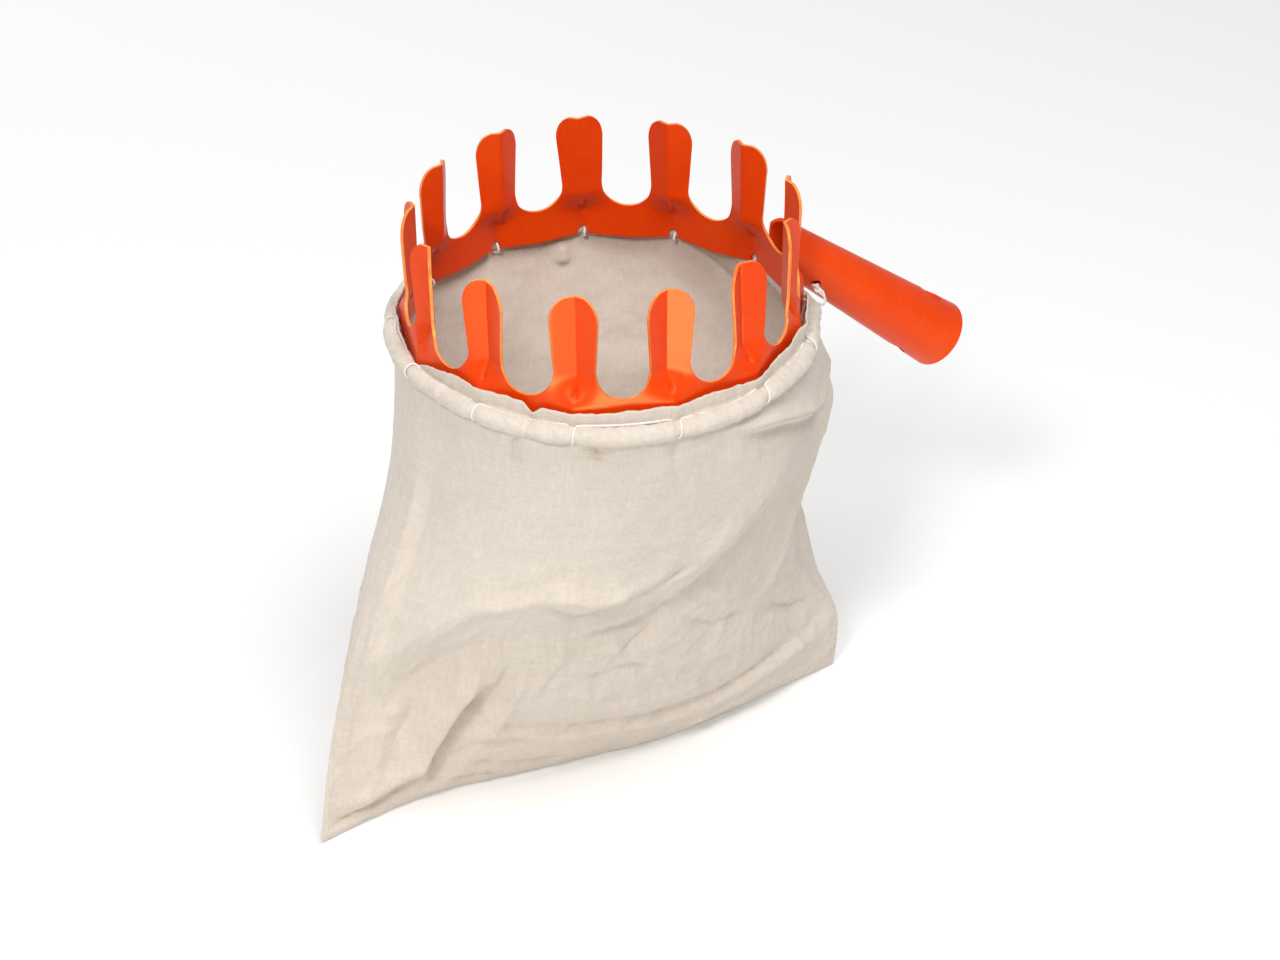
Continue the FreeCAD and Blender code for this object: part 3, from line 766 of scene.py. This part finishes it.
def fold_height(folds, u, v):
    height = 0.0
    for points, half, rise in folds:
        reach_u, reach_v = 3 * half / WIDTH_MM, 3 * half / DEPTH_MM
        if not (min(a for a, b in points) - reach_u < u < max(a for a, b in points) + reach_u
                and min(b for a, b in points) - reach_v < v < max(b for a, b in points) + reach_v):
            continue
        distance, along = near_line(points, u, v)
        if distance < 3 * half:
            ends = smoothstep(-0.05, 0.22, along) * (1 - smoothstep(0.78, 1.05, along))
            height += rise * ends * math.exp(-(distance / half) ** 1.2)
    return FOLD_STRENGTH * height / 1000


def crumple(u, v, seed, amount):
    """Small sharp-edged creases, as in cloth that has been crushed and pulled straight again."""
    place = Vector((u * 9, v * 7, seed))
    bent = place + 0.35 * noise.noise_vector(place * 0.8)
    broad = 1 - abs(noise.noise(bent)) * 2
    fine = 1 - abs(noise.noise(bent * 2.3 + Vector((4, 7, 0)))) * 2
    return amount * (0.5 * broad ** 4 + 0.5 * fine ** 4)


def panel_away(side, u):
    return Vector((0.35 * (2 * u - 1), side, 0.10)).normalized()


def fold_offset(side, u, v):
    """How far the folds and creases move a place on the hanging panel."""
    held = smoothstep(0.0, 0.05, v) * (1 - smoothstep(0.965, 1.0, v)) * smoothstep(0.0, 0.06, u * (1 - u) * 4)
    folds = FRONT_FOLDS if side < 0 else BACK_FOLDS
    small = crumple(u, v, 2.0 + side, 0.0017) * (0.2 + 0.8 * smoothstep(0.25, 0.7, v))
    return panel_away(side, u) * held * (fold_height(folds, u, v) + small)


def panel_place(side, u, v):
    """A place on the front (side -1) or back (side 1) panel before it sags and folds.

    u runs from the left seam to the right one, and v from the mouth down.
    """
    angle = math.pi - side * math.pi * u
    top = bag_mouth(angle)
    bottom = through(bottom_line, u)
    left = through(left_line, v)
    right = through(right_line, v)
    flat = (top * (1 - v) + bottom * v + left * (1 - u) + right * u
            - left_line[0] * (1 - u) * (1 - v) - right_line[0] * u * (1 - v)
            - bottom_line[0] * (1 - u) * v - bottom_line[-1] * u * v)
    inner = math.sin(math.pi * u) ** 0.75
    belly = BELLY * math.sin(math.pi * v ** 0.8) * inner
    return flat + panel_away(side, u) * (belly + crumple(u, v, 5.0 + side, 0.0012) * inner)


def bag_place(across, up):
    if across <= 0.5:
        return panel_place(-1, 2 * across, 1 - up)
    return panel_place(1, 2 - 2 * across, 1 - up)


bag = plain_grid("calico_bag", BAG_COLUMNS, BAG_ROWS)
bag.data.uv_layers[0].name = "cloth"
place_vertices(bag, bag_place)

held_group = bag.vertex_groups.new(name="held")
slack_group = bag.vertex_groups.new(name="slack")
for vertex in bag.data.vertices:
    column = vertex.index % (BAG_COLUMNS + 1)
    down = 1 - vertex.index // (BAG_COLUMNS + 1) / BAG_ROWS
    on_side = column in (0, BAG_COLUMNS // 2, BAG_COLUMNS)
    hold = 0.05 + 0.55 * (1 - smoothstep(0.40, 0.62, down))
    if down < 2.5 / BAG_ROWS or down > 1 - 0.5 / BAG_ROWS:
        hold = 1.0
    elif on_side:
        hold = 0.6
    held_group.add([vertex.index], hold, "REPLACE")
    slack_group.add([vertex.index], smoothstep(0.35, 0.65, down), "REPLACE")
merge_and_face_out(bag, 0.00002)

# the cloth sags for sixteen frames; its lower half is held loosely and grows by up to 2.2 percent
bpy.context.scene.frame_set(1)
cloth = bag.modifiers.new("cloth", "CLOTH")
settings = cloth.settings
settings.quality = 6
settings.mass = 0.10
settings.tension_stiffness = 20
settings.compression_stiffness = 20
settings.shear_stiffness = 8
settings.bending_stiffness = 0.15
settings.air_damping = 2.0
settings.vertex_group_mass = "held"
settings.pin_stiffness = 1.0
settings.vertex_group_shrink = "slack"
settings.shrink_min = 0.0
settings.shrink_max = -0.022
cloth.collision_settings.use_collision = False
cloth.collision_settings.use_self_collision = False
for step in range(1, 17):
    bpy.context.scene.frame_set(step)
apply_modifiers(bag)
bpy.context.scene.frame_set(1)
smoother = bag.modifiers.new("finer", "SUBSURF")
smoother.levels = 1
smoother.render_levels = 1
smoother.subdivision_type = "CATMULL_CLARK"
apply_modifiers(bag)

fold_moves = {}
for loop in bag.data.loops:
    if loop.vertex_index not in fold_moves:
        spot = bag.data.uv_layers["cloth"].data[loop.index].uv
        side, u = (-1, 2 * spot.x) if spot.x <= 0.5 else (1, 2 - 2 * spot.x)
        fold_moves[loop.vertex_index] = fold_offset(side, u, 1 - spot.y)
for index, move in fold_moves.items():
    bag.data.vertices[index].co += move

# the finished surface as a table by half column and half row, for the seams and stitches
bag_surface = {}
cloth_uv = bag.data.uv_layers["cloth"].data
for loop in bag.data.loops:
    spot = cloth_uv[loop.index].uv
    key = (round(spot.x * 2 * BAG_COLUMNS), round((1 - spot.y) * 2 * BAG_ROWS))
    bag_surface[key] = bag.data.vertices[loop.vertex_index].co.copy()


def bag_point(across, down):
    x = min(max(across, 0.0), 0.9999) * 2 * BAG_COLUMNS
    y = min(max(down, 0.0), 0.9999) * 2 * BAG_ROWS
    column, row = int(x), int(y)
    corners = [bag_surface[(column + i, row + j)] for j in (0, 1) for i in (0, 1)]
    upper = corners[0].lerp(corners[1], x - column)
    lower = corners[2].lerp(corners[3], x - column)
    return upper.lerp(lower, y - row)


thickness = bag.modifiers.new("cloth", "SOLIDIFY")
thickness.thickness = BAG_CLOTH
thickness.offset = 0
apply_modifiers(bag)
smooth_shading(bag)
bag_cotton = cotton_cloth("bag_cotton", CALICO_SHADE, CALICO_LIGHT, (2 * BAG_WIDTH, BAG_DEPTH))
give_materials(bag, bag_cotton)
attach(bag, "root")
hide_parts("bag_front", "bag_back")


# --- Seams --------------------------------------------------------------------------------------
# The panels' edges are sewn together into a narrow firm ridge down each side and along the
# bottom, with a line of stitches beside it in both panels.
SEAM_RADIUS = 0.00055
STITCH_RADIUS = 0.00020
STITCH_LENGTH = 0.0022
STITCH_SPACING = 0.0033


def tube_along(name, points, radius, sides, closed=False):
    """A smooth mesh tube along points."""
    line = bpy.data.curves.new(name, "CURVE")
    line.dimensions = "3D"
    spline = line.splines.new("POLY")
    spline.points.add(len(points) - 1)
    for point, place in zip(spline.points, points):
        point.co = (*place, 1)
    spline.use_cyclic_u = closed
    line.bevel_depth = radius
    line.bevel_resolution = max(0, sides // 2 - 2)
    line.use_fill_caps = not closed
    holder = bpy.data.objects.new(name, line)
    mesh = bpy.data.meshes.new_from_object(holder)
    bpy.data.objects.remove(holder)
    bpy.data.curves.remove(line)
    tube = bpy.data.objects.new(name, mesh)
    bpy.context.scene.collection.objects.link(tube)
    smooth_shading(tube)
    return tube


def cotton_thread(name, scales, dark, light, relief, roughness):
    """Spun cotton, uneven in tone and a little rough."""
    material, tree, shader = new_material(name)
    patches = mottle_node(tree, *scales, 0.6, (-700, 100))
    colour = ramp_node(tree, [(0.3, dark), (0.7, light)], (-400, 100))
    wire(tree, patches, "Mask", colour, "Fac")
    wire(tree, colour, "Color", shader, "Base Color")
    bump = node(tree, "ShaderNodeBump", (-400, -200), Strength=0.5, Distance=relief)
    wire(tree, patches, "Mask", bump, "Height")
    wire(tree, bump, "Normal", shader, "Normal")
    shader.inputs["Roughness"].default_value = roughness
    return material


thread_material = cotton_thread("seam_thread_cotton", (120.0, 1800.0), (0.60, 0.52, 0.42), (0.74, 0.66, 0.56),
                                0.0002, 0.8)


def stitches_along(name, place_at, length, outward):
    pieces = []
    count = int(length / STITCH_SPACING)
    for index in range(count):
        middle = (index + 0.5) / count
        reach = STITCH_LENGTH / 2 / length
        ends = [place_at(middle - reach), place_at(middle), place_at(middle + reach)]
        lift = outward * (BAG_CLOTH / 2)
        points = [ends[0] + lift * 0.4, ends[1] + lift * 1.35, ends[2] + lift * 0.4]
        pieces.append(tube_along(f"{name}_{index:03d}", points, STITCH_RADIUS, 6))
    return pieces


SIDE_INSET = 0.0085
BOTTOM_INSET = 0.966
seam_lines = {
    "left": ("bag_seam_left", lambda s: bag_point(0.0, 0.03 + 0.965 * s), [
        (lambda s: bag_point(SIDE_INSET, 0.05 + 0.93 * s), Vector((-0.3, -1, 0))),
        (lambda s: bag_point(1 - SIDE_INSET, 0.05 + 0.93 * s), Vector((-0.3, 1, 0)))]),
    "right": ("bag_seam_right", lambda s: bag_point(0.5, 0.03 + 0.965 * s), [
        (lambda s: bag_point(0.5 - SIDE_INSET, 0.05 + 0.93 * s), Vector((0.3, -1, 0))),
        (lambda s: bag_point(0.5 + SIDE_INSET, 0.05 + 0.93 * s), Vector((0.3, 1, 0)))]),
    "bottom": ("bag_seam_bottom", lambda s: bag_point(0.001 + 0.498 * s, 0.9999), [
        (lambda s: bag_point(0.006 + 0.488 * s, BOTTOM_INSET), Vector((0, -1, 0))),
        (lambda s: bag_point(0.506 + 0.488 * s, BOTTOM_INSET), Vector((0, 1, 0)))]),
}
for seam_name, (seam_node, ridge_at, stitch_lines) in seam_lines.items():
    steps = 160
    ridge_points = [ridge_at(step / steps) for step in range(steps + 1)]
    seam_length = sum((b - a).length for a, b in zip(ridge_points, ridge_points[1:]))
    parts = [tube_along(f"ridge_{seam_name}", ridge_points, SEAM_RADIUS, 8)]
    for number, (stitch_at, outward) in enumerate(stitch_lines):
        parts += stitches_along(f"stitch_{seam_name}_{number}", stitch_at, seam_length, outward.normalized())
    seam_piece = join_pieces(parts, f"sewn_edge_{seam_name}")
    give_materials(seam_piece, thread_material)
    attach(seam_piece, "root")
    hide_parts(seam_node)


# --- Lacing -------------------------------------------------------------------------------------
# One white twisted cord ties the hem to the crown. It lies in the groove above the roll, and at
# every corner it loops over and under the roll and comes back out through the crown's notch.
CORD_RADIUS = 0.00056
STRAND_RADIUS = 0.00034
STRAND_OFFSET = 0.00027
TWIST_PITCH = 0.0022
# one loop: sideways in mm, turn round the roll in degrees from outwards, and clearance in mm
LOOP_OVER_ROLL = [(-2.6, 112, 0.1), (-1.3, 92, 0.5), (-0.7, 55, 0.5), (-0.3, 10, 0.5), (0.0, -40, 0.5),
                  (0.2, -85, 0.6), (0.4, -125, 0.9)]
knot_low, knot_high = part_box("cord_start_knot")
start_knot_place = (Vector(knot_low) + Vector(knot_high)) / 2


def lacing_point(angle, sideways, radius, level):
    turned = angle - sideways / ROLL_RING
    return out_of_round(ring_point(turned, radius, level))


cord_route = [start_knot_place + Vector((0.0004, 0.0006, 0.0006)),
              start_knot_place + Vector((-0.0002, -0.0003, -0.0012))]
cord_route.append(lacing_point(math.radians(-9.5), 0, 0.0925, -0.0035))
cord_route.append(lacing_point(math.radians(-11.5), 0, 0.0905, -0.0055))
for loop in range(FINGERS):
    angle = -FINGER_STEP / 2 - loop * FINGER_STEP
    for sideways, turn_degrees, clear in LOOP_OVER_ROLL:
        if loop == 0 and sideways < -1:
            continue
        here = angle - sideways / 1000 / ROLL_RING
        radius, level = roll_centre(here)
        turn = math.radians(turn_degrees)
        reach = ROLL_RADIUS * (1 - 0.17 * lace_pull(here, 0.0015)) + clear / 1000
        cord_route.append(lacing_point(angle, sideways / 1000, radius + reach * math.cos(turn),
                                       level + reach * math.sin(turn)))
    radius, level = roll_centre(angle)
    cord_route.append(lacing_point(angle, 0.0006, CORNER_RADIUS - 0.0019, min(level, 0.0) - 0.0012))
    cord_route.append(lacing_point(angle, 0.0008, CORNER_RADIUS - 0.0017, 0.0012))
    cord_route.append(lacing_point(angle, 0.0010, CORNER_RADIUS + 0.0004, 0.0022))
    groove_radius = ROLL_RING - 0.0016
    cord_route.append(lacing_point(angle, 0.0022, groove_radius, level + ROLL_RADIUS + 0.0002))
    if loop < FINGERS - 1:
        for share in (0.25, 0.5, 0.75):
            between = angle - share * FINGER_STEP
            radius, level = roll_centre(between)
            sunk = 0.0011 if loop not in (3, 7) else 0.0
            cord_route.append(lacing_point(between, 0, groove_radius, level + ROLL_RADIUS + 0.0003 - sunk))
end_angle = FINGER_STEP / 2 - 0.0070 / ROLL_RING
radius, level = roll_centre(end_angle)
end_knot_place = lacing_point(end_angle, 0, ROLL_RING - 0.0016, level + ROLL_RADIUS + 0.0010)
cord_route.append(end_knot_place)

route_curve = bpy.data.curves.new("lacing_route", "CURVE")
route_curve.dimensions = "3D"
route_spline = route_curve.splines.new("NURBS")
route_spline.points.add(len(cord_route) - 1)
for point, place in zip(route_spline.points, cord_route):
    point.co = (*place, 1)
route_spline.order_u = 3
route_spline.use_endpoint_u = True
route_spline.resolution_u = 10
route_holder = bpy.data.objects.new("lacing_route", route_curve)
route_mesh = bpy.data.meshes.new_from_object(route_holder)
route_points = [vertex.co.copy() for vertex in route_mesh.vertices]
bpy.data.objects.remove(route_holder)

# an even walk along the route, with a frame that doesn't twist, carries the strands
walk = [route_points[0]]
STRAND_STEP = 0.00055
travelled = 0.0
for first, second in zip(route_points, route_points[1:]):
    span = (second - first).length
    while travelled + STRAND_STEP <= span:
        travelled += STRAND_STEP
        walk.append(first.lerp(second, travelled / span))
    travelled -= span
strands = [[], []]
across_walk = Vector((0, 0, 1))
for index, place in enumerate(walk):
    ahead = (walk[min(index + 1, len(walk) - 1)] - walk[max(index - 1, 0)]).normalized()
    across_walk = (across_walk - ahead * across_walk.dot(ahead)).normalized()
    side_walk = ahead.cross(across_walk)
    turn = 2 * math.pi * index * STRAND_STEP / TWIST_PITCH
    for number, strand in enumerate(strands):
        phase = turn + number * math.pi
        strand.append(place + STRAND_OFFSET * (across_walk * math.cos(phase) + side_walk * math.sin(phase)))
lacing = join_pieces([tube_along(f"strand_{number}", strand, STRAND_RADIUS, 6)
                      for number, strand in enumerate(strands)], "lacing_cord_twisted")

cord_material = cotton_thread("white_cord_cotton", (150.0, 2200.0), (0.72, 0.69, 0.64), (0.88, 0.86, 0.82),
                              0.00015, 0.7)
cord_material.node_tree.nodes["Principled BSDF"].inputs["Sheen Weight"].default_value = 0.2
give_materials(lacing, cord_material)
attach(lacing, "root")
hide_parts("lacing_cord")


# --- Knots --------------------------------------------------------------------------------------
# The cord's start is knotted outside the socket's small hole, and its end behind the socket.
KNOT_SIZE = 0.00062
for knot_name, knot_node, knot_place, knot_turn in (
        ("knot_at_socket", "cord_start_knot", start_knot_place, 0.5),
        ("knot_behind_socket", "cord_end_knot", end_knot_place, 2.1)):
    loop_points = []
    for step in range(72):
        t = 2 * math.pi * step / 72
        place = Vector((math.sin(t) + 2 * math.sin(2 * t), math.cos(t) - 2 * math.cos(2 * t),
                        -1.1 * math.sin(3 * t)))
        place.rotate(Matrix.Rotation(knot_turn, 3, "X") @ Matrix.Rotation(0.7, 3, "Y"))
        loop_points.append(knot_place + place * KNOT_SIZE)
    knot = tube_along(knot_name, loop_points, CORD_RADIUS * 1.05, 10, closed=True)
    tail = [knot_place + Vector((0.0006, -0.0010, 0.0)), knot_place + Vector((0.0016, -0.0022, -0.0012)),
            knot_place + Vector((0.0020, -0.0030, -0.0032))]
    knot = join_pieces([knot, tube_along(knot_name + "_tail", tail, CORD_RADIUS * 0.9, 8)], knot_name)
    give_materials(knot, cord_material)
    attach(knot, "root")
    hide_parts(knot_node)


# --- Floor and light ----------------------------------------------------------------------------
# A white floor just under the bag. A low card in front, a light from the front left, one from
# above in front and a weak one behind. The floor glows slightly, and stays white round the shadows.
bpy.ops.object.select_all(action="DESELECT")
bpy.ops.mesh.primitive_plane_add(size=30, location=(RING_CENTRE.x, 0, FLOOR_LEVEL))
floor = bpy.context.object
floor.name = "floor"
floor_material, _, floor_shader = new_material("floor_white")
floor_shader.inputs["Base Color"].default_value = (0.92, 0.92, 0.92, 1)
floor_shader.inputs["Roughness"].default_value = 0.9
floor_shader.inputs["Specular IOR Level"].default_value = 0.1
floor_shader.inputs["Emission Color"].default_value = (1, 1, 1, 1)
floor_shader.inputs["Emission Strength"].default_value = 0.08
floor.data.materials.append(floor_material)

world = bpy.data.worlds.new("studio")
bpy.context.scene.world = world
world.use_nodes = True
world.node_tree.nodes["Background"].inputs["Color"].default_value = (1, 1, 1, 1)
world.node_tree.nodes["Background"].inputs["Strength"].default_value = 0.34


def soft_light(name, place, width, power):
    data = bpy.data.lights.new(name, "AREA")
    data.shape = "SQUARE"
    data.size = width
    data.energy = power
    light = bpy.data.objects.new(name, data)
    bpy.context.scene.collection.objects.link(light)
    light.location = place
    aim = Vector((RING_CENTRE.x, 0, RING_CENTRE.z - 0.05)) - Vector(place)
    light.rotation_euler = aim.to_track_quat("-Z", "Y").to_euler()
    return light


# a low card in front, seen only as a sheen in the paint of the faces turned to the viewer
card = soft_light("front_card", RING_CENTRE + Vector((-0.16, -0.32, -0.14)), 0.26, 4.6)
card.data.color = (1.0, 0.72, 0.42)
card.visible_camera = False
card.visible_diffuse = False
soft_light("key_front", (-1.15, -1.10, 1.40), 0.34, 18)
soft_light("fill_back", (-0.3, 1.5, 0.9), 1.0, 7)
soft_light("top", (-0.10, -0.70, 1.5), 0.7, 15)
